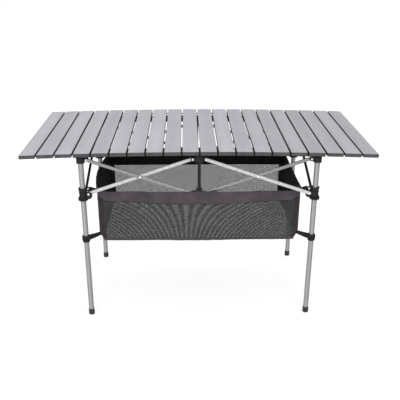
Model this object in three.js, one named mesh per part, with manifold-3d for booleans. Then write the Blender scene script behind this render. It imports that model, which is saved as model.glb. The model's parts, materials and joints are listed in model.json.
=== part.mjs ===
// A folding camp kitchen table: a roll-up slatted top on two rails, a scissor frame on four legs,
// and a fabric basket slung between the frame's sliding hubs. Millimetres, +Z up, feet on Z = 0,
// X along the table's length, -Y towards its front.
import * as THREE from 'three';
import { mergeVertices } from 'three/addons/utils/BufferGeometryUtils.js';
import Module from 'manifold-3d';

const wasm = await Module();
wasm.setup();
const { Manifold, Mesh } = wasm;

// ---- driving dimensions -------------------------------------------------------------------------
const TOP_LENGTH = 1200;
const TOP_DEPTH = 561;
const TOP_HEIGHT = 658;
const TOP_CROWN = 10.7; // how far the ends hang below the middle
const SLAT_COUNT = 20;
const SLAT_PITCH = 60.5;
const SLAT_GAP = 5.5;
const SLAT_HEIGHT = 12.4;
const SLAT_WALL = 1;
const SLAT_CORNER = 1.6;

const RAIL_LENGTH = 860;
const RAIL_WIDTH = 40;
const RAIL_HEIGHT = 16;
const RAIL_WALL = 1.5;
const RAIL_Y = 215;

const LEG_X = 406;
const LEG_Y = 228.5;
const LEG_RADIUS = 9.5;
const LEG_WALL = 1.2;
const LEG_BOTTOM = 12;
const LEG_TOP = 619;
const FOOT_HEIGHT = 23;
const FOOT_RADIUS = 11;

// Every scissor bar has the same length between its pivots, so the frame folds without strain.
const PIVOT_HIGH = 615;
const PIVOT_LOW = 489;
const LONG_PIVOT = 20; // from a leg's axis to its pivot on the long side
const MID_PIVOT = 23; // from the middle of the long side to a centre hub's pivot
const SHORT_PIVOT = 47; // from a leg's axis to its pivot on the short side
const BAR_RUN = LEG_X - LONG_PIVOT - MID_PIVOT;
const BAR_RISE = PIVOT_HIGH - PIVOT_LOW;
const BAR_LENGTH = Math.hypot(BAR_RUN, BAR_RISE);
const BAR_SLOPE = Math.atan2(BAR_RISE, BAR_RUN);
const BAR_HALF_WIDTH = 6;
const BAR_THICK = 8;
const BAR_PLANE = 4.4; // each bar's middle lies this far to one side of the leg's axis
const BAR_EDGE = 3;

const ROUND_SIDES = 20; // facets round a turned piece
const CLEAR = 0.3; // gap between pieces that touch
const LUG_THICK = 6;
const LUG_RADIUS = 8;
const HUB_WIDTH = 27;
const HUB_CORNER = 8;
const CORNER_HUB_BOTTOM = 604;
const CORNER_HUB_TOP = 623.6;
const SLEEVE_RADIUS = 12.8;
const SLIDER_BOTTOM = 467;
const SLIDER_TOP = 512;
const FLANGE_RADIUS = 17.5;
const FLANGE_HEIGHT = 8;
const RING_RADIUS = 14.6;
const RING_HEIGHT = 8;
const MID_HALF = 11;
const MID_DEPTH = 18;
const MID_HUB_TOP = 628.8;
const MID_HUB_BOTTOM = 603;
const LOWER_HUB_TOP = 506;
const LOWER_HUB_BOTTOM = 480;
const POST_RADIUS = 5.5;
const POST_BOTTOM = 508;
const COLLAR_BOTTOM = 305;
const COLLAR_TOP = 330;
const COLLAR_RADIUS = 13;

const BASKET_HALF_X = 360;
const BASKET_FLOOR_HALF_X = 346;
const BASKET_HALF_Y = 208;
const BASKET_TOP = 500;
const BASKET_BOTTOM = 300;
const BASKET_CHAMFER = 28;
const BASKET_WALL = 2;

// ---- finishes -----------------------------------------------------------------------------------
const finish = (color, roughness, metalness) => () =>
  new THREE.MeshStandardMaterial({ color, roughness, metalness });
const slatMetal = finish(0xaba7ae, 0.38, 0.9);
const tubeMetal = finish(0xb4b4b8, 0.3, 0.9);
const blackPaint = finish(0x1b1b1d, 0.45, 0.3);
const blackPlastic = finish(0x202022, 0.6, 0);
const footRubber = finish(0x3a3a3c, 0.75, 0);
const basketFabric = finish(0x4a474c, 0.95, 0);

// ---- solids -------------------------------------------------------------------------------------
function toSolid(geometry) {
  const bare = geometry.clone();
  bare.deleteAttribute('normal');
  bare.deleteAttribute('uv');
  const merged = mergeVertices(bare, 1e-4);
  const vertProperties = new Float32Array(merged.attributes.position.array);
  const triVerts = new Uint32Array(merged.index.array);
  return new Manifold(new Mesh({ numProp: 3, vertProperties, triVerts }));
}

function toGeometry(solid) {
  const mesh = solid.getMesh();
  const geometry = new THREE.BufferGeometry();
  geometry.setAttribute('position', new THREE.BufferAttribute(mesh.vertProperties, 3));
  geometry.setIndex(new THREE.BufferAttribute(mesh.triVerts, 1));
  geometry.computeVertexNormals();
  return geometry;
}

const union = (...geometries) => geometries.map(toSolid).reduce((a, b) => a.add(b));

function box(x0, x1, y0, y1, z0, z1) {
  const geometry = new THREE.BoxGeometry(x1 - x0, y1 - y0, z1 - z0);
  return geometry.translate((x0 + x1) / 2, (y0 + y1) / 2, (z0 + z1) / 2);
}

function upright(radius, z0, z1, sides = ROUND_SIDES) {
  const geometry = new THREE.CylinderGeometry(radius, radius, z1 - z0, sides);
  return geometry.rotateX(Math.PI / 2).translate(0, 0, (z0 + z1) / 2);
}

// A profile of [radius, height] pairs turned about the Z axis; it closes on itself.
function turned(profile, sides = ROUND_SIDES) {
  const points = [...profile, profile[0]].map(([r, z]) => new THREE.Vector2(r, z));
  return new THREE.LatheGeometry(points, sides).rotateX(Math.PI / 2);
}

function roundedRectangle(width, height, radius) {
  const x = width / 2;
  const y = height / 2;
  const shape = new THREE.Shape();
  shape.absarc(x - radius, y - radius, radius, 0, Math.PI / 2);
  shape.absarc(-x + radius, y - radius, radius, Math.PI / 2, Math.PI);
  shape.absarc(-x + radius, -y + radius, radius, Math.PI, 1.5 * Math.PI);
  shape.absarc(x - radius, -y + radius, radius, 1.5 * Math.PI, 2 * Math.PI);
  shape.closePath();
  return shape;
}

// A flat link from its first pivot at the origin to its second at [length, 0], in the XY plane.
function linkShape(length, radius) {
  const shape = new THREE.Shape();
  shape.absarc(length, 0, radius, -Math.PI / 2, Math.PI / 2);
  shape.absarc(0, 0, radius, Math.PI / 2, 1.5 * Math.PI);
  shape.closePath();
  return shape;
}

// A lug that reaches from a hub's axis to a pivot, turned to lie in the XZ plane: its plate fills
// y = 0 to LUG_THICK. The straight foot of the lug is inside the hub that it joins.
function lug(reach, z) {
  const shape = linkShape(reach, LUG_RADIUS);
  const plate = new THREE.ExtrudeGeometry(shape, { depth: LUG_THICK, bevelEnabled: false, curveSegments: 6 });
  return plate.rotateX(Math.PI / 2).translate(0, LUG_THICK, z);
}

// ---- the bars -----------------------------------------------------------------------------------
function barGeometry() {
  const geometry = new THREE.ExtrudeGeometry(linkShape(BAR_LENGTH, BAR_HALF_WIDTH), {
    depth: BAR_THICK - 2 * BAR_EDGE,
    bevelEnabled: true,
    bevelThickness: BAR_EDGE,
    bevelSize: BAR_EDGE,
    bevelOffset: -BAR_EDGE,
    bevelSegments: 3,
    curveSegments: 5,
  });
  return geometry.rotateX(Math.PI / 2).translate(0, BAR_THICK / 2 - BAR_EDGE, 0);
}

const table = new THREE.Group();

function addPiece(parent, name, geometry, material) {
  const mesh = new THREE.Mesh(geometry, material());
  mesh.name = name;
  parent.add(mesh);
  return mesh;
}

// A bar from a pivot, sloping down or up along the group's +X, on one side of the hubs' plane.
function addBar(parent, name, x, z, slope, side, material) {
  const bar = addPiece(parent, name, barGeometry(), material);
  bar.position.set(x, side * BAR_PLANE, z);
  bar.rotation.y = slope;
}

// ---- the top ------------------------------------------------------------------------------------
const crown = (x) => TOP_CROWN * (x / (TOP_LENGTH / 2)) ** 2;
const crownSlope = (x) => (2 * TOP_CROWN * x) / (TOP_LENGTH / 2) ** 2;

function slatGeometry(width) {
  const outline = roundedRectangle(width, SLAT_HEIGHT, SLAT_CORNER);
  const bore = roundedRectangle(width - 2 * SLAT_WALL, SLAT_HEIGHT - 2 * SLAT_WALL, SLAT_WALL);
  outline.holes.push(new THREE.Path(bore.getPoints(1)));
  const options = { depth: TOP_DEPTH, bevelEnabled: false, curveSegments: 2 };
  const geometry = new THREE.ExtrudeGeometry(outline, options);
  return geometry.translate(0, -SLAT_HEIGHT / 2, -TOP_DEPTH / 2).rotateX(Math.PI / 2);
}

function addSlats() {
  for (let i = 0; i < SLAT_COUNT; i += 1) {
    const gapLeft = (i - SLAT_COUNT / 2) * SLAT_PITCH + SLAT_GAP / 2;
    const gapRight = (i + 1 - SLAT_COUNT / 2) * SLAT_PITCH - SLAT_GAP / 2;
    const left = Math.max(gapLeft, -TOP_LENGTH / 2);
    const right = Math.min(gapRight, TOP_LENGTH / 2);
    const x = (left + right) / 2;
    const name = `slat_${String(i + 1).padStart(2, '0')}`;
    const slat = addPiece(table, name, slatGeometry(right - left), slatMetal);
    slat.position.set(x, 0, TOP_HEIGHT - crown(x));
    slat.rotation.y = crownSlope(x);
  }
}

// A strip that follows the underside of the crowned top, from z = -low to z = -high below it.
function crownedStrip(length, low, high, width) {
  const steps = 12;
  const shape = new THREE.Shape();
  for (let i = 0; i <= steps; i += 1) {
    const x = length * (i / steps - 0.5);
    const z = TOP_HEIGHT - crown(x) - high;
    if (i === 0) shape.moveTo(x, z);
    else shape.lineTo(x, z);
  }
  for (let i = steps; i >= 0; i -= 1) {
    const x = length * (i / steps - 0.5);
    shape.lineTo(x, TOP_HEIGHT - crown(x) - low);
  }
  shape.closePath();
  const geometry = new THREE.ExtrudeGeometry(shape, { depth: width, bevelEnabled: false });
  return geometry.rotateX(Math.PI / 2).translate(0, width / 2, 0);
}

function addRail(name, y) {
  const top = SLAT_HEIGHT + 2 * CLEAR;
  const outside = toSolid(crownedStrip(RAIL_LENGTH, top, top + RAIL_HEIGHT, RAIL_WIDTH));
  const bore = crownedStrip(
    RAIL_LENGTH + 2, top + RAIL_WALL, top + RAIL_HEIGHT - RAIL_WALL, RAIL_WIDTH - 2 * RAIL_WALL);
  const rail = addPiece(table, name, toGeometry(outside.subtract(toSolid(bore))), blackPaint);
  rail.position.y = y;
}

// ---- the legs and what is on them ---------------------------------------------------------------
// Each corner is built as the front left one, with its lugs towards +X and +Y, and then mirrored.
// longSide and shortSide, 1 or -1, say which side of the leg's axis each lug's plate lies on; its bar
// lies on the other side.
function mirrored(solid, sx, sy) {
  let result = solid;
  if (sx < 0) result = result.mirror([1, 0, 0]);
  if (sy < 0) result = result.mirror([0, 1, 0]);
  return result;
}

function longLug(reach, z, side) {
  return lug(reach, z).translate(0, side > 0 ? 0 : -LUG_THICK, 0);
}

function shortLug(reach, z, side) {
  return lug(reach, z).rotateZ(Math.PI / 2).translate(side > 0 ? LUG_THICK : 0, 0, 0);
}

function cornerHub(longSide, shortSide) {
  const height = CORNER_HUB_TOP - CORNER_HUB_BOTTOM;
  const block = new THREE.ExtrudeGeometry(roundedRectangle(HUB_WIDTH, HUB_WIDTH, HUB_CORNER), {
    depth: height, bevelEnabled: false, curveSegments: 4 }).translate(0, 0, CORNER_HUB_BOTTOM);
  const bore = upright(LEG_RADIUS + CLEAR, CORNER_HUB_BOTTOM - 1, LEG_TOP + CLEAR);
  const along = longLug(LONG_PIVOT, PIVOT_HIGH, longSide);
  const across = shortLug(SHORT_PIVOT, PIVOT_HIGH, shortSide);
  return union(block, along, across).subtract(toSolid(bore));
}

function slider(longSide, shortSide) {
  const sleeve = upright(SLEEVE_RADIUS, SLIDER_BOTTOM, SLIDER_TOP);
  const flange = upright(FLANGE_RADIUS, SLIDER_BOTTOM, SLIDER_BOTTOM + FLANGE_HEIGHT);
  const ring = upright(RING_RADIUS, SLIDER_TOP - RING_HEIGHT, SLIDER_TOP);
  const bore = upright(LEG_RADIUS + CLEAR, SLIDER_BOTTOM - 1, SLIDER_TOP + 1);
  const along = longLug(LONG_PIVOT, PIVOT_LOW, longSide);
  const across = shortLug(SHORT_PIVOT, PIVOT_LOW, shortSide);
  return union(sleeve, flange, ring, along, across).subtract(toSolid(bore));
}

function collar() {
  const inner = LEG_RADIUS + CLEAR;
  return turned([
    [inner, COLLAR_BOTTOM], [COLLAR_RADIUS, COLLAR_BOTTOM], [COLLAR_RADIUS, COLLAR_TOP - 3],
    [COLLAR_RADIUS - 1.5, COLLAR_TOP], [inner, COLLAR_TOP],
  ]);
}

function legTube() {
  const inner = LEG_RADIUS - LEG_WALL;
  return turned([[inner, LEG_BOTTOM], [LEG_RADIUS, LEG_BOTTOM], [LEG_RADIUS, LEG_TOP], [inner, LEG_TOP]]);
}

function foot() {
  const socket = LEG_RADIUS + CLEAR;
  const points = [
    [0, 0], [FOOT_RADIUS - 1, 0], [FOOT_RADIUS, 1.5], [FOOT_RADIUS - 0.4, FOOT_HEIGHT], [socket, FOOT_HEIGHT],
    [socket, LEG_BOTTOM - CLEAR], [0, LEG_BOTTOM - CLEAR],
  ].map(([r, z]) => new THREE.Vector2(r, z));
  return new THREE.LatheGeometry(points, ROUND_SIDES).rotateX(Math.PI / 2);
}

// sx and sy point from the corner towards the table's middle. On the left the long side's falling bar
// is in front of the rising one, and on the right it is behind, so the lugs change sides there.
function addCorner(label, sx, sy) {
  const corner = new THREE.Group();
  corner.position.set(-sx * LEG_X, -sy * LEG_Y, 0);
  table.add(corner);
  addPiece(corner, `leg_${label}`, legTube(), tubeMetal);
  addPiece(corner, `foot_${label}`, foot(), footRubber);
  addPiece(corner, `corner_hub_${label}`, toGeometry(mirrored(cornerHub(sx, sy), sx, sy)), blackPlastic);
  addPiece(corner, `slider_${label}`, toGeometry(mirrored(slider(-sx, -sy), sx, sy)), blackPlastic);
  addPiece(corner, `collar_${label}`, collar(), blackPlastic);
}

// ---- a long side: two crossed pairs of bars between the legs and the centre hubs ---------------
function topHub() {
  const block = box(-MID_HALF, MID_HALF, -MID_DEPTH / 2, MID_DEPTH / 2, MID_HUB_BOTTOM, MID_HUB_TOP);
  const post = upright(POST_RADIUS, POST_BOTTOM, MID_HUB_BOTTOM + 1);
  const left = longLug(MID_PIVOT, PIVOT_HIGH, 1).rotateZ(Math.PI);
  const right = longLug(MID_PIVOT, PIVOT_HIGH, 1);
  return union(block, post, left, right);
}

function lowerHub() {
  const block = box(-MID_HALF, MID_HALF, -MID_DEPTH / 2, MID_DEPTH / 2, LOWER_HUB_BOTTOM, LOWER_HUB_TOP);
  const left = longLug(MID_PIVOT, PIVOT_LOW, -1).rotateZ(Math.PI);
  const right = longLug(MID_PIVOT, PIVOT_LOW, -1);
  return union(block, left, right);
}

// front is 1 for the front side and -1 for the back, which is its mirror image.
function addLongSide(label, front) {
  const side = new THREE.Group();
  side.position.y = -front * LEG_Y;
  table.add(side);
  addPiece(side, `top_hub_${label}`, toGeometry(mirrored(topHub(), 1, front)), blackPlastic);
  addPiece(side, `lower_hub_${label}`, toGeometry(mirrored(lowerHub(), 1, front)), blackPlastic);
  const outer = LEG_X - LONG_PIVOT;
  addBar(side, `bar_${label}_left_falling`, -outer, PIVOT_HIGH, BAR_SLOPE, -front, tubeMetal);
  addBar(side, `bar_${label}_left_rising`, -outer, PIVOT_LOW, -BAR_SLOPE, front, tubeMetal);
  addBar(side, `bar_${label}_right_falling`, MID_PIVOT, PIVOT_HIGH, BAR_SLOPE, -front, tubeMetal);
  addBar(side, `bar_${label}_right_rising`, MID_PIVOT, PIVOT_LOW, -BAR_SLOPE, front, tubeMetal);
}

// ---- a short side: one crossed pair of bars between two legs ------------------------------------
function addShortSide(label, left) {
  const side = new THREE.Group();
  side.position.x = -left * LEG_X;
  side.rotation.z = Math.PI / 2;
  table.add(side);
  const outer = LEG_Y - SHORT_PIVOT;
  addBar(side, `bar_${label}_falling`, -outer, PIVOT_HIGH, BAR_SLOPE, left, blackPaint);
  addBar(side, `bar_${label}_rising`, -outer, PIVOT_LOW, -BAR_SLOPE, -left, blackPaint);
}

// ---- the basket ---------------------------------------------------------------------------------
// Its outline in the XZ plane, taken in by inset all round, with the bottom corners cut off.
function basketProfile(inset, top) {
  const half = BASKET_HALF_X - inset;
  const floorHalf = BASKET_FLOOR_HALF_X - inset;
  const floor = BASKET_BOTTOM + inset;
  const shape = new THREE.Shape();
  shape.moveTo(-floorHalf, floor);
  shape.lineTo(floorHalf, floor);
  shape.lineTo(half, floor + BASKET_CHAMFER);
  shape.lineTo(half, top);
  shape.lineTo(-half, top);
  shape.lineTo(-half, floor + BASKET_CHAMFER);
  shape.closePath();
  return shape;
}

function basket() {
  const solid = (inset, top) => {
    const depth = 2 * (BASKET_HALF_Y - inset);
    const geometry = new THREE.ExtrudeGeometry(basketProfile(inset, top), { depth, bevelEnabled: false });
    return toSolid(geometry.rotateX(Math.PI / 2).translate(0, depth / 2, 0));
  };
  return toGeometry(solid(0, BASKET_TOP).subtract(solid(BASKET_WALL, BASKET_TOP + 10)));
}

addSlats();
addRail('rail_front', -RAIL_Y);
addRail('rail_back', RAIL_Y);
addCorner('front_left', 1, 1);
addCorner('front_right', -1, 1);
addCorner('back_left', 1, -1);
addCorner('back_right', -1, -1);
addLongSide('front', 1);
addLongSide('back', -1);
addShortSide('left', 1);
addShortSide('right', -1);
addPiece(table, 'basket', basket(), basketFabric);

export default table;
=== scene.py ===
"""A folding camp kitchen table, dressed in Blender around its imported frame.

The frame gives every place and size. This script adds the small pieces, the basket's cloth, the
materials, the light and the camera. Everything is in metres.
"""

import json
import math

import bmesh
import bpy
from mathutils import Matrix, Vector, noise


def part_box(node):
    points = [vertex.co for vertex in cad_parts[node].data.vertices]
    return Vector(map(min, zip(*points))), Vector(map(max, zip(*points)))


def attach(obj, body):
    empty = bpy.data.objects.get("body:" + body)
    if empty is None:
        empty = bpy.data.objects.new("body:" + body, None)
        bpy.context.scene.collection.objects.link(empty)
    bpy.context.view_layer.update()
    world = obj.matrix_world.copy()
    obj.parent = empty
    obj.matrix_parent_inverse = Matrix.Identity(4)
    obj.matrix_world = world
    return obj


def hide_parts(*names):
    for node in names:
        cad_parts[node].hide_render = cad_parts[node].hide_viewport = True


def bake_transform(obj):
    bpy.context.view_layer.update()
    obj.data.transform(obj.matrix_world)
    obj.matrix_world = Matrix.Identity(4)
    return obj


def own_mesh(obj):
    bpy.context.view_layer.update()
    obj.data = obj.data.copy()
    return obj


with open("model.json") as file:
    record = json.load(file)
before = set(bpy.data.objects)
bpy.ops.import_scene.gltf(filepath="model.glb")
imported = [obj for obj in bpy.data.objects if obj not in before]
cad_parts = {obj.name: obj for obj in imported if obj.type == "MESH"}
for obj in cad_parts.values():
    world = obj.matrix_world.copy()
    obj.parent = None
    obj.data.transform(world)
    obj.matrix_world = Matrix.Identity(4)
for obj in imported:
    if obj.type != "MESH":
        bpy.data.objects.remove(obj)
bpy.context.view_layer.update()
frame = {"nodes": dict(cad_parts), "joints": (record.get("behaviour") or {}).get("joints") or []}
nodes = frame["nodes"]
joints = {j["name"]: j for j in frame["joints"]}

MM = 0.001
FRONT, BACK = -1, 1
LEFT, RIGHT = -1, 1
SIDE_NAME = {FRONT: "front", BACK: "back"}
END_NAME = {LEFT: "left", RIGHT: "right"}
FOLD = "frame_fold"


# ---- places taken from the frame ----------------------------------------------------------------
def middle(node):
    low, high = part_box(node)
    return (low + high) / 2


def pivot(name):
    return Vector(joints[name]["pos_m"])


LEG = middle("leg_back_right")
LEG_X, LEG_Y = LEG.x, LEG.y
PIVOT_HIGH = pivot("frame_fold").z
PIVOT_LOW = pivot("lower_hub_front_pivot").z
PIVOT_OUTER_X = pivot("corner_front_right_pivot").x
PIVOT_INNER_X = pivot("frame_fold").x
PIVOT_END_Y = pivot("corner_back_right_end_pivot").y
CROSS_X = pivot("cross_front_right_pivot").x
CROSS_Z = pivot("cross_front_right_pivot").z
BASKET_LOW, BASKET_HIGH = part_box("basket")
BASKET_X, BASKET_Y = BASKET_HIGH.x, BASKET_HIGH.y
BASKET_TOP, BASKET_FLOOR = BASKET_HIGH.z, BASKET_LOW.z
COLLAR_LOW, COLLAR_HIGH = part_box("collar_front_left")
COLLAR_RADIUS = (COLLAR_HIGH.x - COLLAR_LOW.x) / 2
FOLDED_ANGLE = math.radians(max(abs(v) for v in joints[FOLD]["range_deg"]))


# ---- node materials -----------------------------------------------------------------------------
class Shader:
    """A material's node tree, with short calls for the nodes that this script uses."""

    def __init__(self, name):
        self.material = bpy.data.materials.new(name)
        self.material.use_nodes = True
        self.tree = self.material.node_tree
        self.bsdf = self.tree.nodes["Principled BSDF"]

    def node(self, kind, **values):
        made = self.tree.nodes.new(kind)
        for key, value in values.items():
            setattr(made, key, value)
        return made

    def link(self, source, target):
        self.tree.links.new(source, target)

    def place(self, stretch=(1, 1, 1)):
        """Object coordinates, which are the frame's own metres, stretched along each axis."""
        where = self.node("ShaderNodeTexCoord")
        mapping = self.node("ShaderNodeMapping")
        mapping.inputs["Scale"].default_value = stretch
        self.link(where.outputs["Object"], mapping.inputs["Vector"])
        return mapping.outputs["Vector"]

    def noise(self, vector, scale, detail=3.0, roughness=0.5):
        made = self.node("ShaderNodeTexNoise")
        made.inputs["Scale"].default_value = scale
        made.inputs["Detail"].default_value = detail
        made.inputs["Roughness"].default_value = roughness
        self.link(vector, made.inputs["Vector"])
        return made.outputs["Fac"]

    def math(self, operation, a, b=None, clamp=False):
        made = self.node("ShaderNodeMath", operation=operation, use_clamp=clamp)
        for socket, value in zip(made.inputs, (a, b)):
            if value is None:
                continue
            if isinstance(value, (int, float)):
                socket.default_value = value
            else:
                self.link(value, socket)
        return made.outputs[0]

    def ramp(self, value, low, high, start=0.0, end=1.0):
        """A smooth change from one colour to another as value goes from start to end."""
        made = self.node("ShaderNodeValToRGB")
        first, last = made.color_ramp.elements
        first.position, last.position = start, end
        first.color, last.color = (*low, 1), (*high, 1)
        self.link(value, made.inputs["Fac"])
        return made.outputs["Color"]

    def span(self, value, low, high, start=0.0, end=1.0):
        made = self.node("ShaderNodeMapRange")
        made.inputs["From Min"].default_value = start
        made.inputs["From Max"].default_value = end
        made.inputs["To Min"].default_value = low
        made.inputs["To Max"].default_value = high
        self.link(value, made.inputs["Value"])
        return made.outputs["Result"]

    def bump(self, height, distance, strength=1.0):
        made = self.node("ShaderNodeBump")
        made.inputs["Strength"].default_value = strength
        made.inputs["Distance"].default_value = distance
        self.link(height, made.inputs["Height"])
        self.link(made.outputs["Normal"], self.bsdf.inputs["Normal"])

    def set(self, **values):
        for key, value in values.items():
            self.bsdf.inputs[key.replace("_", " ")].default_value = value

    def drive(self, **sources):
        for key, source in sources.items():
            self.link(source, self.bsdf.inputs[key.replace("_", " ")])


def grey(level, tint=(1, 1, 1)):
    return tuple(level * t for t in tint)


def brushed_slat():
    """Brushed, lightly tinted aluminium: streaks along the slat, and each slat a little different. Faces that
    point sideways, into the gaps between slats, are darkened as painted shade.
    """
    s = Shader("slat_aluminium")
    streaks = s.noise(s.place((900, 10, 900)), 1.0, 4.0, 0.6)
    clouds = s.noise(s.place((6, 5, 6)), 1.0, 2.0)
    each = s.noise(s.place((16.5, 0.01, 0.01)), 1.0, 0.0)
    mixed = s.math("ADD", s.math("MULTIPLY", streaks, 0.5), s.math("MULTIPLY", each, 0.5))
    tone = s.math("ADD", s.math("MULTIPLY", mixed, 0.8), s.math("MULTIPLY", clouds, 0.2))
    face = s.node("ShaderNodeTexCoord")
    apart = s.node("ShaderNodeSeparateXYZ")
    s.link(face.outputs["Normal"], apart.inputs["Vector"])
    # Painted shade: faces turned sideways, into the narrow gaps between slats, drop to 0.12 of their colour.
    painted_gap_shade = s.span(s.math("ABSOLUTE", apart.outputs["X"]), 1.0, 0.12, 0.45, 0.8)
    colour = s.ramp(tone, (0.36, 0.342, 0.385), (0.56, 0.54, 0.58), 0.3, 0.7)
    darker = s.node("ShaderNodeVectorMath", operation="SCALE")
    s.link(colour, darker.inputs["Vector"])
    s.link(painted_gap_shade, darker.inputs["Scale"])
    s.drive(Base_Color=darker.outputs["Vector"], Roughness=s.span(streaks, 0.34, 0.5))
    s.set(Metallic=0.85)
    s.bump(streaks, 0.00012, 0.35)
    return s.material


def tube_metal(name="tube_metal", low=0.68, high=0.88, metallic=0.85):
    """Satin drawn aluminium: fine lines along the tube and faint handling marks."""
    s = Shader(name)
    lines = s.noise(s.place((700, 700, 14)), 1.0, 3.0, 0.6)
    marks = s.noise(s.place((60, 60, 25)), 1.0, 3.0)
    s.drive(
        Base_Color=s.ramp(lines, grey(low, (1, 1, 1.02)), grey(high, (1, 1, 1.02)), 0.3, 0.7),
        Roughness=s.span(marks, 0.24, 0.38),
    )
    s.set(Metallic=metallic)
    s.bump(lines, 0.0001, 0.3)
    return s.material


def bar_metal(name, level, metallic):
    """The bars of the long sides: flattened tube with lines drawn along it."""
    s = Shader(name)
    lines = s.noise(s.place((40, 700, 700)), 1.0, 3.0, 0.6)
    s.drive(
        Base_Color=s.ramp(lines, grey(level * 0.88), grey(level, (1, 1, 1.01)), 0.3, 0.7),
        Roughness=s.span(lines, 0.2, 0.34),
    )
    s.set(Metallic=metallic)
    s.bump(lines, 0.0001, 0.3)
    return s.material


def black_paint(name, level=0.014):
    """Black powder coat with a fine orange peel, worn a little paler where the grain is high."""
    s = Shader(name)
    peel = s.noise(s.place((1, 1, 1)), 900.0, 2.0)
    wear = s.noise(s.place((1, 1, 1)), 30.0, 4.0, 0.7)
    s.drive(
        Base_Color=s.ramp(wear, grey(level), grey(level * 2.4), 0.45, 0.8),
        Roughness=s.span(wear, 0.36, 0.55),
    )
    s.set(Specular_IOR_Level=0.25)
    s.bump(peel, 0.00015, 0.4)
    return s.material


def moulded(name, level, tint=(1, 1, 1), roughness=0.5):
    """Moulded plastic or rubber: a fine leathery grain and slight shine changes."""
    s = Shader(name)
    grain = s.noise(s.place((1, 1, 1)), 1400.0, 3.0, 0.6)
    blotch = s.noise(s.place((1, 1, 1)), 45.0, 3.0)
    s.drive(
        Base_Color=s.ramp(blotch, grey(level, tint), grey(level * 1.6, tint), 0.3, 0.75),
        Roughness=s.span(blotch, roughness - 0.08, roughness + 0.1),
    )
    s.set(Specular_IOR_Level=0.3)
    s.bump(grain, 0.0002, 0.5)
    return s.material


def threads(s, axes, pitch):
    """One wave along each of two axes: the rows of threads that cross each other."""
    where = s.node("ShaderNodeSeparateXYZ")
    s.link(s.place(), where.inputs["Vector"])
    turn = 2 * math.pi / pitch
    waves = []
    for axis in axes:
        phase = s.math("MULTIPLY", where.outputs[axis], turn)
        waves.append(s.math("SINE", phase))
    return waves


def woven(name, level, tint, axes, pitch=0.0011, roughness=0.85, sheen=0.25, gloss=0.5):
    """Closely woven polyester: a fine over-and-under weave with broad soft unevenness."""
    s = Shader(name)
    wave_a, wave_b = threads(s, axes, pitch)
    weave = s.math("MULTIPLY", wave_a, wave_b)
    uneven = s.noise(s.place((1, 1, 1)), 18.0, 4.0, 0.6)
    s.drive(Base_Color=s.ramp(uneven, grey(level * 0.75, tint), grey(level * 1.35, tint), 0.3, 0.72))
    s.set(Roughness=roughness, Sheen_Weight=sheen, Sheen_Roughness=0.4, Specular_IOR_Level=gloss)
    s.bump(s.math("ADD", weave, s.math("MULTIPLY", uneven, 2.0)), 0.00035, 0.6)
    return s.material


def open_mesh(name, level, axes, pitch=0.0031, openness=0.36):
    """Open netting: threads with see-through holes between them."""
    s = Shader(name)
    wave_a, wave_b = threads(s, axes, pitch)
    uneven = s.noise(s.place((1, 1, 1)), 22.0, 3.0)
    thin = s.math("MINIMUM", wave_a, wave_b)
    edge = 1 - 2 * openness
    hole = s.span(thin, 0.0, 1.0, edge - 0.12, edge + 0.12)
    cover = s.math("SUBTRACT", 1.0, hole, clamp=True)
    s.drive(Base_Color=s.ramp(uneven, grey(level * 0.8), grey(level * 1.4, (1, 1, 1.03)), 0.3, 0.7))
    s.drive(Alpha=cover)
    s.set(Roughness=0.8, Sheen_Weight=0.2, Sheen_Roughness=0.5)
    s.bump(s.math("SUBTRACT", 0.0, thin), 0.0004, 0.5)
    s.material.blend_method = "HASHED"
    return s.material


PURPLE = (1.0, 0.78, 0.97)
MAT = {
    "slat": brushed_slat(),
    "cap": moulded("slat_cap", 0.05, (1, 0.98, 1.02), 0.5),
    "tube": tube_metal(),
    "bar": bar_metal("bar_metal", 0.62, 0.9),
    # Painted highlight: a lighter, less metallic copy of the same bar metal, for the bars that catch the
    # light.
    "bar_painted_highlight": bar_metal("bar_metal_painted_highlight", 0.8, 0.5),
    "black_bar": black_paint("black_bar"),
    "rail": black_paint("black_rail", 0.01),
    "plastic": moulded("black_plastic", 0.014, (1, 1, 1.04), 0.42),
    "foot": moulded("foot_rubber", 0.035, (1, 1, 1.02), 0.62),
    "rivet": tube_metal("rivet_metal", 0.86, 0.95, 0.4),
    "hem": woven("hem_fabric", 0.056, PURPLE, "XZ"),
    "border": woven("border_fabric", 0.03, (1.0, 0.72, 0.92), "XZ", sheen=0.15, gloss=0.3),
    "end": woven("end_fabric", 0.007, (1, 0.94, 1.04), "YZ", sheen=0.06, gloss=0.12),
    "webbing": woven("webbing", 0.01, (1, 1, 1.02), "XY", 0.002, 0.7, sheen=0.1, gloss=0.3),
    "mesh_side": open_mesh("basket_mesh_side", 0.027, "XZ", 0.0033, 0.4),
    "mesh_floor": open_mesh("basket_mesh_floor", 0.04, "XY", 0.0042, 0.42),
    "cord": woven("elastic_cord", 0.012, (1, 1, 1), "XZ", 0.0016, 0.7),
}


# ---- mesh helpers -------------------------------------------------------------------------------
def new_piece(name, verts, faces, material, smooth=True):
    """A mesh object with one material."""
    mesh = bpy.data.meshes.new(name)
    mesh.from_pydata([tuple(v) for v in verts], [], faces)
    mesh.validate()
    mesh.polygons.foreach_set("use_smooth", [smooth] * len(mesh.polygons))
    mesh.materials.append(material)
    made = bpy.data.objects.new(name, mesh)
    bpy.context.scene.collection.objects.link(made)
    return made


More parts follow.
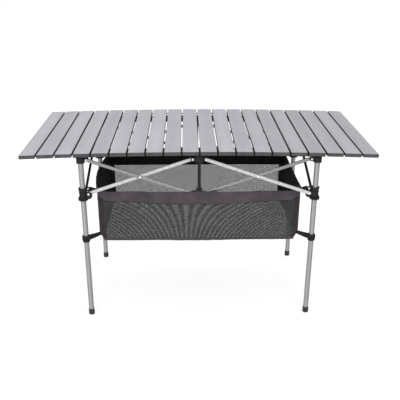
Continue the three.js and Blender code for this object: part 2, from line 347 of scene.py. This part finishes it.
class Builder:
    """Gathers several closed shapes into one piece."""

    def __init__(self):
        self.verts = []
        self.faces = []

    def add(self, verts, faces):
        start = len(self.verts)
        self.verts += [Vector(v) for v in verts]
        self.faces += [tuple(start + i for i in face) for face in faces]

    def turned(self, profile, base, axis, sides=20):
        """A solid turned about axis through base, from [radius, height] pairs off and on the axis."""
        axis = Vector(axis).normalized()
        across = axis.orthogonal().normalized()
        other = axis.cross(across)
        rings = []
        verts = []
        for radius, height in profile:
            here = Vector(base) + axis * height
            if radius < 1e-9:
                rings.append([len(verts)])
                verts.append(here)
                continue
            rings.append(list(range(len(verts), len(verts) + sides)))
            for k in range(sides):
                turn = 2 * math.pi * k / sides
                verts.append(here + (across * math.cos(turn) + other * math.sin(turn)) * radius)
        faces = []
        for low, high in zip(rings, rings[1:]):
            for k in range(sides):
                n = (k + 1) % sides
                if len(low) == 1 and len(high) > 1:
                    faces.append((low[0], high[n], high[k]))
                elif len(high) == 1 and len(low) > 1:
                    faces.append((low[k], low[n], high[0]))
                elif len(low) > 1:
                    faces.append((low[k], low[n], high[n], high[k]))
        is_ring = profile[0] == profile[-1]
        if len(rings[0]) > 1 and not is_ring:
            faces.append(tuple(reversed(rings[0])))
        if len(rings[-1]) > 1 and not is_ring:
            faces.append(tuple(rings[-1]))
        self.add(verts, faces)

    def swept(self, path, section, normals=None, closed=False, taper=None):
        """A closed section of (across, up) pairs carried along a path, its height scaled by the taper."""
        path = [Vector(p) for p in path]
        count = len(path)
        verts = []
        for i, here in enumerate(path):
            before = path[i - 1] if closed or i > 0 else here
            after = path[(i + 1) % count] if closed or i < count - 1 else here
            ahead = (after - before).normalized()
            up = Vector(normals[i]) if normals else Vector((0, 0, 1))
            if abs(up.dot(ahead)) > 0.98:
                up = Vector((0, 1, 0))
            across = ahead.cross(up).normalized()
            up = across.cross(ahead).normalized()
            tall = taper[i] if taper else 1.0
            verts += [here + across * a + up * (b * tall) for a, b in section]
        n = len(section)
        faces = []
        for i in range(count if closed else count - 1):
            first, second = i * n, ((i + 1) % count) * n
            for k in range(n):
                m = (k + 1) % n
                faces.append((first + k, first + m, second + m, second + k))
        if not closed:
            faces.append(tuple(reversed(range(n))))
            faces.append(tuple(range((count - 1) * n, count * n)))
        self.add(verts, faces)

    def piece(self, name, material, body=None, smooth=True, bevel=None):
        made = new_piece(name, self.verts, self.faces, material, smooth)
        fix = bmesh.new()
        fix.from_mesh(made.data)
        bmesh.ops.recalc_face_normals(fix, faces=fix.faces)
        fix.to_mesh(made.data)
        fix.free()
        if bevel:
            soften = made.modifiers.new("bevel", "BEVEL")
            soften.width = bevel
            soften.segments = 3
            soften.limit_method = "ANGLE"
        if smooth:
            sharpen(made)
        if body:
            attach(made, body)
        return made


def sharpen(made, angle=math.radians(40)):
    """Smooth shading that keeps edges sharper than the angle."""
    mesh = made.data
    edges = bmesh.new()
    edges.from_mesh(mesh)
    for edge in edges.edges:
        if len(edge.link_faces) == 2:
            edge.smooth = edge.calc_face_angle(0.0) < angle
    edges.to_mesh(mesh)
    edges.free()


def circle(radius, sides=10):
    return [
        (radius * math.cos(2 * math.pi * k / sides), radius * math.sin(2 * math.pi * k / sides))
        for k in range(sides)
    ]


# ---- what the frame's own nodes look like -------------------------------------------------------
NODE_LOOKS = (
    ("slat_", "slat"),
    ("rail_", "rail"),
    ("leg_", "tube"),
    ("foot_", "foot"),
    ("corner_hub_", "plastic"),
    ("slider_", "plastic"),
    ("collar_", "plastic"),
    ("top_hub_", "plastic"),
    ("lower_hub_", "plastic"),
    ("bar_left", "black_bar"),
    ("bar_right", "black_bar"),
    # These four bars take the lighter copy of the bar metal: painted highlight where the light catches them.
    ("bar_front_left_rising", "bar_painted_highlight"),
    ("bar_front_right_falling", "bar_painted_highlight"),
    ("bar_back_left_rising", "bar_painted_highlight"),
    ("bar_back_right_falling", "bar_painted_highlight"),
    ("bar_", "bar"),
)


EDGE_SOFTNESS = 0.4 * MM
EDGE_ANGLE = math.radians(35)


def dress_nodes():
    """Each of the frame's nodes gets its material and slightly softened edges."""
    for name, node in nodes.items():
        look = next((look for start, look in NODE_LOOKS if name.startswith(start)), None)
        if look is None:
            continue
        node.data.materials.clear()
        node.data.materials.append(MAT[look])
        soft_edges = node.modifiers.new("edges", "BEVEL")
        soft_edges.width = EDGE_SOFTNESS
        soft_edges.segments = 2
        soft_edges.limit_method = "ANGLE"
        soft_edges.angle_limit = EDGE_ANGLE
        node.modifiers.new("shade", "WEIGHTED_NORMAL")
        node.data.polygons.foreach_set("use_smooth", [True] * len(node.data.polygons))


# ---- the top's small pieces ---------------------------------------------------------------------
SLAT_HEIGHT = 12.4 * MM
SLAT_WALL = 1.6 * MM
SLAT_CORNER = 1.8 * MM
CAP_THICK = 1.6 * MM
CAP_PLUG = 9 * MM  # how deep a cap reaches into its slat
CORD_RADIUS = 2.2 * MM
CORD_INSET = 44 * MM  # from the slats' ends to the elastic cord
CORD_OVERLAP = 1.2 * MM  # how far each stretch of cord reaches into its slats


def slat_names():
    return sorted(n for n in nodes if n.startswith("slat_"))


def slat_tilt(name):
    """A slat's middle, the direction across it, and its upward normal."""
    mesh = nodes[name].data
    faces = sorted(mesh.polygons, key=lambda f: -f.area * (f.normal.z > 0.9))
    normal = faces[0].normal.copy()
    across = Vector((normal.z, 0, -normal.x)).normalized()
    return middle(name), across, normal


def add_slat_caps():
    """A moulded cap closes each end of each hollow slat: a rim as large as the slat, and a plug."""
    for name in slat_names():
        low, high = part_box(name)
        centre, across, up = slat_tilt(name)
        half_width = (high.x - low.x) / 2 - abs(across.z) * SLAT_HEIGHT / 2
        half_height = SLAT_HEIGHT / 2
        caps = Builder()
        for side, y in ((FRONT, low.y), (BACK, high.y)):
            outline = rounded_outline(half_width, half_height, SLAT_CORNER)
            inner = rounded_outline(half_width - SLAT_WALL, half_height - SLAT_WALL, 1.0 * MM)
            face = rounded_outline(half_width - 0.5 * MM, half_height - 0.5 * MM, 1.4 * MM)
            rings = (
                (inner, -CAP_PLUG), (inner, 0.0), (outline, 0.05 * MM), (outline, CAP_THICK * 0.6),
                (face, CAP_THICK),
            )
            verts = []
            for ring, out in rings:
                for a, b in ring:
                    verts.append(Vector((centre.x, y + side * out, centre.z)) + across * a + up * b)
            n = len(outline)
            faces = [
                (r * n + k, r * n + (k + 1) % n, (r + 1) * n + (k + 1) % n, (r + 1) * n + k)
                for r in range(len(rings) - 1)
                for k in range(n)
            ]
            faces += [tuple(range(n)), tuple(range((len(rings) - 1) * n, len(rings) * n))]
            caps.add(verts, faces)
        caps.piece(f"caps_{name}", MAT["cap"], name)


def rounded_outline(half_a, half_b, radius, steps=3):
    """A rectangle with round corners, as (a, b) pairs about its middle."""
    points = []
    corners = ((1, 1, 0), (-1, 1, 1), (-1, -1, 2), (1, -1, 3))
    for sa, sb, quarter in corners:
        for k in range(steps + 1):
            turn = math.pi / 2 * (quarter + k / steps)
            a = sa * (half_a - radius) + radius * math.cos(turn)
            b = sb * (half_b - radius) + radius * math.sin(turn)
            points.append((a, b))
    return points


def add_elastic_cords():
    """The elastic cords that run through the slats show in each gap, near both ends."""
    names = slat_names()
    for first, second in zip(names, names[1:]):
        a_low, a_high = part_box(first)
        b_low, b_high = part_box(second)
        gap_start, gap_end = a_high.x, b_low.x
        z = (a_low.z + a_high.z + b_low.z + b_high.z) / 4
        cords = Builder()
        for y in (a_low.y + CORD_INSET, a_high.y - CORD_INSET):
            steps = 6
            reach = gap_end - gap_start + 2 * CORD_OVERLAP
            path = [(gap_start - CORD_OVERLAP + reach * i / steps, y, z) for i in range(steps + 1)]
            cords.swept(path, circle(CORD_RADIUS, 12))
        made = cords.piece(f"elastic_{first}_{second[-2:]}", MAT["cord"], None)
        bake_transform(made)


# ---- rivets and small frame pieces --------------------------------------------------------------
RIVET_RADIUS = 4.3 * MM
SHANK_RADIUS = 2 * MM
BAR_REACH, LUG_REACH = 8.6 * MM, 6.4 * MM  # from the pivot's middle to the rivet's two heads
# A rivet's domed head: shares of its radius, and heights in millimetres past the piece it holds.
HEAD = ((0.0, -1.5), (1.0, -1.5), (1.0, 0.3), (0.82, 1.1), (0.45, 1.7), (0.0, 1.9))


def rivet(builder, centre, axis, reach_out, reach_in):
    """A domed rivet through a pivot: a head on each side of the bar and its lug, and the shank."""
    for sign, reach in ((1, reach_out), (-1, reach_in)):
        out = Vector(axis) * sign
        profile = [(RIVET_RADIUS * share, reach + height * MM) for share, height in HEAD]
        builder.turned(profile, centre, out, 16)
    shank = [(0.0, -reach_in), (SHANK_RADIUS, -reach_in), (SHANK_RADIUS, reach_out), (0.0, reach_out)]
    builder.turned(shank, centre, axis, 12)


def bar_side(bar, axis, plane):
    """Which side of a plane a bar lies on, along Y or X: 1 or -1."""
    return 1 if middle(bar)[axis] > plane else -1


def add_rivet(name, centre, axis, body, reach_in=LUG_REACH):
    made = Builder()
    rivet(made, centre, axis, BAR_REACH, reach_in)
    made.piece(f"rivet_{name}", MAT["rivet"], body)


def add_long_side_rivets(side, end):
    """The pivots of one crossed pair of bars on a long side: four at hubs, and one at the crossing."""
    s, e = SIDE_NAME[side], END_NAME[end]
    y = side * LEG_Y
    outward, inward = ("falling", "rising") if end == LEFT else ("rising", "falling")
    spots = (
        (f"corner_{s}_{e}", f"leg_{s}_{e}", end * PIVOT_OUTER_X, PIVOT_HIGH, outward),
        (f"slider_{s}_{e}", f"slider_{s}_{e}", end * PIVOT_OUTER_X, PIVOT_LOW, inward),
        (f"top_{s}_{e}", f"top_hub_{s}", end * PIVOT_INNER_X, PIVOT_HIGH, inward),
        (f"lower_{s}_{e}", f"lower_hub_{s}", end * PIVOT_INNER_X, PIVOT_LOW, outward),
    )
    for name, body, x, z, slope in spots:
        lies = bar_side(f"bar_{s}_{e}_{slope}", 1, y)
        add_rivet(name, (x, y, z), (0, lies, 0), body)
    add_rivet(f"cross_{s}_{e}", (end * CROSS_X, y, CROSS_Z), (0, side, 0), f"bar_{s}_{e}_falling", BAR_REACH)


def add_end_rivets(end):
    """The pivots of the crossed pair of bars on an end."""
    e = END_NAME[end]
    x = end * LEG_X
    add_rivet(f"cross_{e}_end", (x, 0, CROSS_Z), (end, 0, 0), f"bar_{e}_falling", BAR_REACH)
    for side in (FRONT, BACK):
        s = SIDE_NAME[side]
        high, low = ("falling", "rising") if side == FRONT else ("rising", "falling")
        for name, body, z, slope in (
            (f"corner_{s}_{e}_end", f"leg_{s}_{e}", PIVOT_HIGH, high),
            (f"slider_{s}_{e}_end", f"slider_{s}_{e}", PIVOT_LOW, low),
        ):
            lies = bar_side(f"bar_{e}_{slope}", 0, x)
            add_rivet(name, (x, side * PIVOT_END_Y, z), (lies, 0, 0), body)


def add_rivets():
    for side in (FRONT, BACK):
        for end in (LEFT, RIGHT):
            add_long_side_rivets(side, end)
    for end in (LEFT, RIGHT):
        add_end_rivets(end)


def each_corner():
    for side in (FRONT, BACK):
        for end in (LEFT, RIGHT):
            yield side, end, f"{SIDE_NAME[side]}_{END_NAME[end]}"


SLEEVE_RADIUS = 12.8 * MM
HOOK_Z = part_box("slider_front_left")[1].z - 9 * MM
EYE_HALF_WIDTH, EYE_HALF_HEIGHT = 6.5 * MM, 7 * MM
EYE_THICKNESS = 2.9 * MM
EYE_STEPS = 20
WING_RADIUS = 13 * MM
WING_DROP = 5 * MM  # how far the wing's middle lies under the pivot
WING_SIDES = (0.2 * MM, 6.3 * MM)  # its two faces, measured from the bars' middle plane
WING_STEPS = 12
WING_ROOT = 6 * MM  # where it ends, measured from the leg's axis


def eye_place(side, end):
    """The middle of a hub's eye. On the left the bar lies on the inner side, so the eye stands off it."""
    off_x, off_y = (15 * MM, 11.8 * MM) if end == LEFT else (19 * MM, 6 * MM)
    return Vector((end * (LEG_X - off_x), side * (LEG_Y - off_y), HOOK_Z))


def add_eye(side, end, label):
    """The moulded eye on a sliding hub's inner side, which holds the basket's corner."""
    centre = eye_place(side, end)
    turns = (2 * math.pi * k / EYE_STEPS for k in range(EYE_STEPS))
    ring = [
        centre + Vector((math.cos(t) * EYE_HALF_WIDTH * end, 0, math.sin(t) * EYE_HALF_HEIGHT)) for t in turns
    ]
    eye = Builder()
    eye.swept(ring, circle(EYE_THICKNESS, 10), [(0, 1, 0)] * EYE_STEPS, closed=True)
    eye.piece(f"basket_eye_{label}", MAT["plastic"], f"slider_{label}")


def add_wing(side, end, label):
    """A flat wing with a round end, which backs the pivot on the side away from the bar."""
    slope = "rising" if end == LEFT else "falling"
    lug = -bar_side(f"bar_{SIDE_NAME[side]}_{END_NAME[end]}_{slope}", 1, side * LEG_Y)
    middle_z = PIVOT_LOW - WING_DROP
    outline = [(LEG_X - WING_ROOT, middle_z - WING_RADIUS)]
    for k in range(WING_STEPS + 1):
        turn = math.pi * (k / WING_STEPS - 0.5)
        x = PIVOT_OUTER_X - WING_RADIUS * math.cos(turn)
        outline.append((x, middle_z + WING_RADIUS * math.sin(turn)))
    outline.append((LEG_X - WING_ROOT, middle_z + WING_RADIUS))
    count = len(outline)
    verts = [(end * x, side * LEG_Y + lug * y, z) for y in WING_SIDES for x, z in outline]
    faces = [(k, (k + 1) % count, count + (k + 1) % count, count + k) for k in range(count)]
    faces += [tuple(range(count)), tuple(range(2 * count - 1, count - 1, -1))]
    wing = Builder()
    wing.add(verts, faces)
    wing.piece(f"slider_wing_{label}", MAT["plastic"], f"slider_{label}", bevel=0.9 * MM)


def add_ribs(side, end, label):
    """Two raised ribs round a sliding hub's sleeve."""
    low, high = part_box(f"slider_{label}")
    inside, outside = SLEEVE_RADIUS - 1 * MM, SLEEVE_RADIUS + 1.1 * MM
    ribs = Builder()
    for z in (low.z + 12.5 * MM, (low.z + high.z) / 2 + 6 * MM):
        rib = ring_profile(inside, outside, z, 2.2 * MM, 1.6 * MM)
        ribs.turned(rib, (end * LEG_X, side * LEG_Y, 0), (0, 0, 1), 32)
    ribs.piece(f"slider_ribs_{label}", MAT["plastic"], f"slider_{label}")


def ring_profile(inside, outside, z, half_inside, half_outside):
    """The closed section of a band round a tube, with half its height on the inside and the outside."""
    profile = [
        (inside, z - half_inside), (outside, z - half_outside),
        (outside, z + half_outside), (inside, z + half_inside),
    ]
    return profile + profile[:1]


def add_hub_details():
    for side, end, label in each_corner():
        add_eye(side, end, label)
        add_wing(side, end, label)
        add_ribs(side, end, label)


# ---- the basket ---------------------------------------------------------------------------------
FLOOR_X = BASKET_X - 14 * MM
CHAMFER = 28 * MM
END_HEM = 44 * MM  # an end panel's hem
BORDER = 17 * MM
PIPING = 2.1 * MM
CLOTH = 1.0 * MM
INSET = 6 * MM  # how far the cloth lies inside the basket's box
RIPPLE_PLACE = 7.3  # where in the noise the ripples are taken
SIDE_COLUMNS, SIDE_ROWS = 80, 24
HEM_OFFSET = 1.4 * MM  # how far each layer of the hem lies off the mesh
HUB_BULGE = 34.5 * MM  # how far the front rim stands out over the lower hub
HUB_RISE = 13 * MM  # how far it rises there
LEFT_BULGE = 20 * MM  # how far the left end's slack cloth stands out at the rim
FLOOR_STRIP = 0.4  # share of the floor's half length that the middle strip takes
STRAP_THICK = 2 * MM


def fold_keep(length):
    """The share of a panel's length that the folded frame leaves for it."""
    run = PIVOT_OUTER_X - PIVOT_INNER_X
    rise = PIVOT_HIGH - PIVOT_LOW
    slope = math.atan2(rise, run)
    taken = run - math.hypot(run, rise) * math.cos(slope + FOLDED_ANGLE)
    return (length - taken) / length


KEEP_X = fold_keep(BASKET_X)


def ripple(u, v, size):
    """Soft unevenness of slack cloth, the same each run."""
    return size * noise.noise(Vector((u * 3.1, v * 2.3, RIPPLE_PLACE)))


def side_half_width(z):
    """Half the basket's length at a height: the bottom corners are cut off."""
    rise = min(max((z - BASKET_FLOOR) / CHAMFER, 0.0), 1.0)
    return FLOOR_X + (BASKET_X - FLOOR_X) * rise


def smooth(value, start, end):
    """A soft step from 0 at the start to 1 at the end."""
    share = min(max((value - start) / (end - start), 0.0), 1.0)
    return share * share * (3 - 2 * share)


def rim_z(side, u):
    """The height of a long side's rim: it drops from the corner tabs, and rises over the lower hub."""
    corner = smooth(abs(u), 0.9, 1.0)
    if side == BACK:
        return BASKET_TOP + 5 * MM - 3 * MM * (1 - corner)
    middle_rise = HUB_RISE * (1 - smooth(abs(u), 0.24, 0.6))
    return BASKET_TOP - 16 * MM + 18 * MM * corner + middle_rise


def hem_depth(side, u):
    """How deep the rim's hem is: the front one narrows towards its ends."""
    return (34 + 10 * (1 - smooth(abs(u), 0.1, 0.95))) * MM if side == FRONT else 60 * MM


def side_point(side, u, v, out=0.0):
    """A point of the front or back panel: u runs from -1 to 1 along it, and v from the floor to the rim."""
    z = BASKET_FLOOR + v * (rim_z(side, u) - BASKET_FLOOR)
    x = u * side_half_width(z)
    span = 1 - u * u
    over_hub = 0.0
    if side == FRONT:
        over_hub = HUB_BULGE * (1 - smooth(abs(u), 0.24, 0.62)) * smooth(v, 0.0, 0.9)
    bulge = 4 * MM * math.sin(math.pi * min(1.0, v * 0.9)) * span
    slack = ripple(u * 4, v * 2.5, 3.0 * MM) * span * (1 - 0.6 * smooth(v, 0.6, 1.0))
    y = side * (BASKET_Y - INSET + bulge + slack + over_hub + out)
    sag = 3 * MM * span * (1 - v) * (0.7 + 0.3 * math.cos(2 * math.pi * u))
    return Vector((x, y, z - sag))


def hem_share(side, u):
    """The height share at which the hem's lower edge lies."""
    return 1 - hem_depth(side, u) / (rim_z(side, u) - BASKET_FLOOR)


def grid(name, rows, columns, place, material, cloth=CLOTH):
    """A sheet of quads: place gives its points for u and v from 0 to 1, and cloth its thickness."""
    verts = [place(c / columns, r / rows) for r in range(rows + 1) for c in range(columns + 1)]
    wide = columns + 1
    faces = [
        (r * wide + c, r * wide + c + 1, (r + 1) * wide + c + 1, (r + 1) * wide + c)
        for r in range(rows)
        for c in range(columns)
    ]
    made = new_piece(name, verts, faces, material)
    if cloth:
        thick = made.modifiers.new("cloth", "SOLIDIFY")
        thick.thickness = cloth
        thick.offset = 0.0
    return made


def applied(made):
    """The piece with its modifiers applied, so that what folds is the final mesh."""
    bpy.context.view_layer.update()
    depsgraph = bpy.context.evaluated_depsgraph_get()
    final = bpy.data.meshes.new_from_object(made.evaluated_get(depsgraph))
    made.modifiers.clear()
    made.data = final
    return made


def add_side_panel(side):
    """A long side: the mesh, the hem along its top, its end borders and its bottom binding."""
    s = SIDE_NAME[side]
    body = f"lower_hub_{s}"
    # The back panel's hem and piping take the black webbing look: painted shade, for the same fabric as the
    # front hem seen from the inside in shade.
    colour = MAT["hem"] if side == FRONT else MAT["webbing"]

    def settle(made):
        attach(made, body)
        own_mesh(made)
        return made

    def mesh_place(u, v):
        return side_point(side, 2 * u - 1, v)

    mesh_name = f"basket_{s}_mesh"
    panel = grid(mesh_name, SIDE_ROWS, SIDE_COLUMNS, mesh_place, MAT["mesh_side"], 0)
    settle(panel)
    for layer, out in (("outer", HEM_OFFSET), ("inner", -HEM_OFFSET)):

        def hem_place(u, v):
            low = hem_share(side, 2 * u - 1)
            lip = 0.0 if v < 0.999 else -out * 0.6
            return side_point(side, 2 * u - 1, low + (1 - low) * v, out + lip)

        hem = grid(f"basket_{s}_hem_{layer}", 8, SIDE_COLUMNS, hem_place, colour)
        settle(applied(hem))
    steps = [-1 + 2 * i / SIDE_COLUMNS for i in range(SIDE_COLUMNS + 1)]
    rim = [side_point(side, u, 1.0) for u in steps]
    hem_edge = [side_point(side, u, hem_share(side, u), 1.9 * MM) for u in steps]
    bottom = [side_point(side, u, 0.0) for u in steps]
    lines = (
        ("piping", rim, circle(PIPING, 8), colour),
        ("seam", hem_edge, circle(0.7 * MM, 6), MAT["end"]),
        ("binding", bottom, rounded_outline(1.6 * MM, 5 * MM, 1.2 * MM, 2), MAT["hem"]),
    )
    for label, path, section, material in lines:
        made = Builder()
        made.swept(path, section)
        settle(made.piece(f"basket_{s}_{label}", material, None))
    for end in (LEFT, RIGHT):

        def border_place(u, v):
            reach = side_half_width(BASKET_FLOOR + v * (BASKET_TOP - BASKET_FLOOR))
            return side_point(side, end * (1 - u * BORDER / reach), v, 0.9 * MM)

        label = f"basket_{s}_border_{END_NAME[end]}"
        border = applied(grid(label, SIDE_ROWS, 3, border_place, MAT["border"]))
        settle(border)


def end_point(end, t, z, out=0.0):
    """A point of an end panel. t runs from -1 at the front to 1 at the back."""
    height = (z - BASKET_FLOOR) / (BASKET_TOP - BASKET_FLOOR)
    span = 1 - t * t
    y = t * (BASKET_Y - INSET)
    bulge = (1.3 * MM + ripple(t * 3, height * 3 + end, 2 * MM)) * span
    if end == LEFT:
        bulge += LEFT_BULGE * math.sin(math.pi * (t + 1) / 2) * smooth(height, 0.1, 1.0)
    x = end * (side_half_width(z) + bulge + out)
    return Vector((x, y, z - 7 * MM * span * height))


def add_end_panel(end):
    """An end of the basket: one cloth, with piping along its rim and along its hem."""
    e = END_NAME[end]
    body = f"slider_front_{e}"

    def settle(made):
        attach(made, body)
        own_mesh(made)
        return made

    def place(u, v):
        return end_point(end, 2 * u - 1, BASKET_FLOOR + v * (BASKET_TOP - BASKET_FLOOR))

    panel = settle(applied(grid(f"basket_{e}_end", 24, 40, place, MAT["end"])))
    for index, (z, radius) in enumerate(((BASKET_TOP, PIPING), (BASKET_TOP - END_HEM, 0.8 * MM))):
        path = [end_point(end, -1 + 2 * i / 40, z, 0.6 * MM) for i in range(41)]
        made = Builder()
        made.swept(path, circle(radius, 8))
        piping = made.piece(f"basket_{e}_end_piping_{index}", MAT["webbing"], None)
        settle(piping)


def floor_point(x, t):
    """A point of the basket's floor, which sags a little between its edges."""
    u = x / FLOOR_X
    span = (1 - u * u) * (1 - t * t)
    sag = 4 * MM * span + ripple(u * 3, t * 2, 2 * MM) * span
    return Vector((x, t * (BASKET_Y - INSET), BASKET_FLOOR + 2.5 * MM - sag * 0.5))


def add_floor():
    """The floor is one cloth in three strips, because its ends follow the sliding hubs."""
    cut = FLOOR_X * FLOOR_STRIP
    strips = (
        ("left", -FLOOR_X, -cut, "slider_front_left"),
        ("middle", -cut, cut, "lower_hub_front"),
        ("right", cut, FLOOR_X, "slider_front_right"),
    )
    for label, start, end, body in strips:

        def place(u, v, start=start, end=end):
            return floor_point(start + (end - start) * u, 2 * v - 1)

        made = grid(f"basket_floor_{label}", 30, 24, place, MAT["mesh_floor"], 0)
        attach(made, body)
        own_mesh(made)


def tapered_band(name, start, finish, heights, sag, body):
    """A band of webbing on edge between two points, whose height changes along it."""
    steps = 12
    path = []
    for i in range(steps + 1):
        point = start.lerp(finish, i / steps)
        point.z -= sag * math.sin(math.pi * i / steps)
        path.append(point)
    first, last = heights
    taper = [(first + (last - first) * i / steps) / last for i in range(steps + 1)]
    made = Builder()
    made.swept(path, rounded_outline(STRAP_THICK / 2, last / 2, STRAP_THICK * 0.4, 2), None, False, taper)
    made.piece(name, MAT["webbing"], body)


def add_basket_straps():
    """Webbing: a tab from each top corner to the hub's eye, and a strap from each low corner."""
    collar_z = (COLLAR_LOW.z + COLLAR_HIGH.z) / 2
    for side, end, label in each_corner():
        body = f"slider_{label}"
        corner = Vector((end * (BASKET_X - 8 * MM), side * (BASKET_Y - 3 * MM), BASKET_TOP - 7 * MM))
        eye = eye_place(side, end) - Vector((end * 5 * MM, 0, 2 * MM))
        eye.y = side * min(abs(eye.y), LEG_Y - 10 * MM)
        tapered_band(f"basket_tab_{label}", corner, eye, (13 * MM, 23 * MM), 1.5 * MM, body)
        low_z = BASKET_FLOOR + CHAMFER - 3 * MM
        low_corner = Vector((end * (BASKET_X - 4 * MM), side * (BASKET_Y - 4 * MM), low_z))
        on_leg = Vector((end * (LEG_X - 11.5 * MM), side * (LEG_Y - 3 * MM), collar_z + 2 * MM))
        tapered_band(f"basket_strap_{label}", low_corner, on_leg, (14 * MM, 22 * MM), 0.5 * MM, body)
        loop = Builder()
        centre = (end * LEG_X, side * LEG_Y, 0)
        inside, outside = COLLAR_RADIUS - 1.2 * MM, COLLAR_RADIUS + 1.3 * MM
        band = ring_profile(inside, outside, collar_z + 1 * MM, 7.5 * MM, 7 * MM)
        loop.turned(band, centre, (0, 0, 1), 32)
        loop.piece(f"collar_band_{label}", MAT["webbing"], body)


# ---- light, floor and camera --------------------------------------------------------------------
# The sky that shiny surfaces see, from straight down (0) to straight up (1).
SKY = (
    (0.0, (0.30, 0.30, 0.31)), (0.42, (0.5, 0.5, 0.51)), (0.56, (0.66, 0.66, 0.6732)),
    (0.72, (0.95, 0.95, 0.969)), (1.0, (1.0, 1.0, 1.0)),
)
# How bright that sky is, from the left (0) to the right (1): dark edges give round tubes their shading.
SIDE_SHADE = ((0.0, 0.5), (0.12, 0.62), (0.33, 1.1), (0.5, 0.98), (0.66, 0.84), (0.88, 0.42), (1.0, 0.34))
SOFT_WHITE = (0.92, 0.92, 0.93)  # what cloth and paint see


def world_ramp(tree, along, stops):
    """A colour ramp over one axis of the view of the sky, which runs from -1 to 1."""
    spread = tree.nodes.new("ShaderNodeMapRange")
    spread.inputs["From Min"].default_value = -1.0
    tree.links.new(along, spread.inputs["Value"])
    ramp = tree.nodes.new("ShaderNodeValToRGB")
    ends = ramp.color_ramp.elements
    for element, (place, colour) in zip(ends, (stops[0], stops[-1])):
        element.position, element.color = place, (*colour, 1)
    for place, colour in stops[1:-1]:
        ends.new(place).color = (*colour, 1)
    tree.links.new(spread.outputs["Result"], ramp.inputs["Fac"])
    return ramp.outputs["Color"]


def add_world():
    """A white studio. Cloth and paint see white all round, and shiny metal sees a darker horizon."""
    world = bpy.data.worlds.new("studio")
    bpy.context.scene.world = world
    world.use_nodes = True
    tree = world.node_tree
    where = tree.nodes.new("ShaderNodeTexCoord")
    split = tree.nodes.new("ShaderNodeSeparateXYZ")
    tree.links.new(where.outputs["Generated"], split.inputs["Vector"])
    shaded = tree.nodes.new("ShaderNodeVectorMath")
    shaded.operation = "SCALE"
    grey_stops = [(place, (level,) * 3) for place, level in SIDE_SHADE]
    tree.links.new(world_ramp(tree, split.outputs["Z"], SKY), shaded.inputs["Vector"])
    tree.links.new(world_ramp(tree, split.outputs["X"], grey_stops), shaded.inputs["Scale"])
    path = tree.nodes.new("ShaderNodeLightPath")
    shiny = tree.nodes.new("ShaderNodeMixRGB")
    shiny.inputs[1].default_value = (*SOFT_WHITE, 1)
    tree.links.new(path.outputs["Is Glossy Ray"], shiny.inputs[0])
    tree.links.new(shaded.outputs["Vector"], shiny.inputs[2])
    seen = tree.nodes.new("ShaderNodeMixRGB")
    seen.inputs[2].default_value = (1.0, 1.0, 1.0, 1)
    tree.links.new(path.outputs["Is Camera Ray"], seen.inputs[0])
    tree.links.new(shiny.outputs[0], seen.inputs[1])
    background = tree.nodes["Background"]
    tree.links.new(seen.outputs[0], background.inputs["Color"])
    background.inputs["Strength"].default_value = 1.0


def add_light(name, place, aim, size, power):
    """A rectangular softbox at a place, turned towards its aim."""
    light = bpy.data.lights.new(name, "AREA")
    light.shape = "RECTANGLE"
    light.size, light.size_y = size
    light.energy = power
    made = bpy.data.objects.new(name, light)
    bpy.context.scene.collection.objects.link(made)
    made.location = place
    made.rotation_mode = "QUATERNION"
    made.rotation_quaternion = (Vector(aim) - Vector(place)).to_track_quat("-Z", "Y")


FLOOR_HALF = 12.0
FLOOR_Z = -1 * MM


def add_floor_stage():
    """A pale floor that glows a little, so that it stays white. Shiny metal doesn't see it."""
    s = Shader("studio_floor")
    s.set(Base_Color=(0.3, 0.3, 0.3, 1), Roughness=0.9, Emission_Color=(1, 1, 1, 1), Emission_Strength=0.74)
    corners = ((-1, -1), (1, -1), (1, 1), (-1, 1))
    verts = [(FLOOR_HALF * x, FLOOR_HALF * y, FLOOR_Z) for x, y in corners]
    ground = new_piece("studio_ground", verts, [(0, 1, 2, 3)], s.material)
    ground.visible_glossy = False


CAMERA_PLACE = (-0.0457, -2.2192, 1.3036)
CAMERA_TURN = (1.381, 22.88, 0.197)  # degrees to the right, down and rolled
CAMERA_LENS = 55.31
CAMERA_SENSOR = 36.0


def add_camera():
    """A camera in front of the table, looking along +Y and down."""
    camera = bpy.data.cameras.new("camera")
    camera.sensor_width = CAMERA_SENSOR
    camera.lens = CAMERA_LENS
    made = bpy.data.objects.new("camera", camera)
    bpy.context.scene.collection.objects.link(made)
    yaw, pitch, roll = (math.radians(angle) for angle in CAMERA_TURN)
    ahead = Vector((math.sin(yaw) * math.cos(pitch), math.cos(yaw) * math.cos(pitch), -math.sin(pitch)))
    right = Vector((math.cos(yaw), -math.sin(yaw), 0))
    up = right.cross(ahead)
    turned_right = right * math.cos(roll) + up * math.sin(roll)
    turned_up = up * math.cos(roll) - right * math.sin(roll)
    turn = Matrix((turned_right, turned_up, -ahead)).transposed()
    made.matrix_world = Matrix.Translation(CAMERA_PLACE) @ turn.to_4x4()
    bpy.context.scene.camera = made


def add_studio():
    add_world()
    add_light("softbox_left", (-0.85, -2.0, 1.6), (-0.1, -0.2, 0.45), (0.45, 0.6), 11)
    add_light("softbox_right", (0.85, -2.0, 1.6), (0.1, -0.2, 0.45), (0.45, 0.6), 11)
    add_light("overhead", (0.2, 0.9, 2.8), (0, 0, 0.6), (2.4, 0.9), 16)
    bpy.context.scene.view_settings.view_transform = "Standard"


add_camera()
dress_nodes()
add_slat_caps()
add_elastic_cords()
add_rivets()
add_hub_details()
add_side_panel(FRONT)
add_side_panel(BACK)
add_end_panel(LEFT)
add_end_panel(RIGHT)
add_floor()
add_basket_straps()
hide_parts("basket")
add_floor_stage()
add_studio()
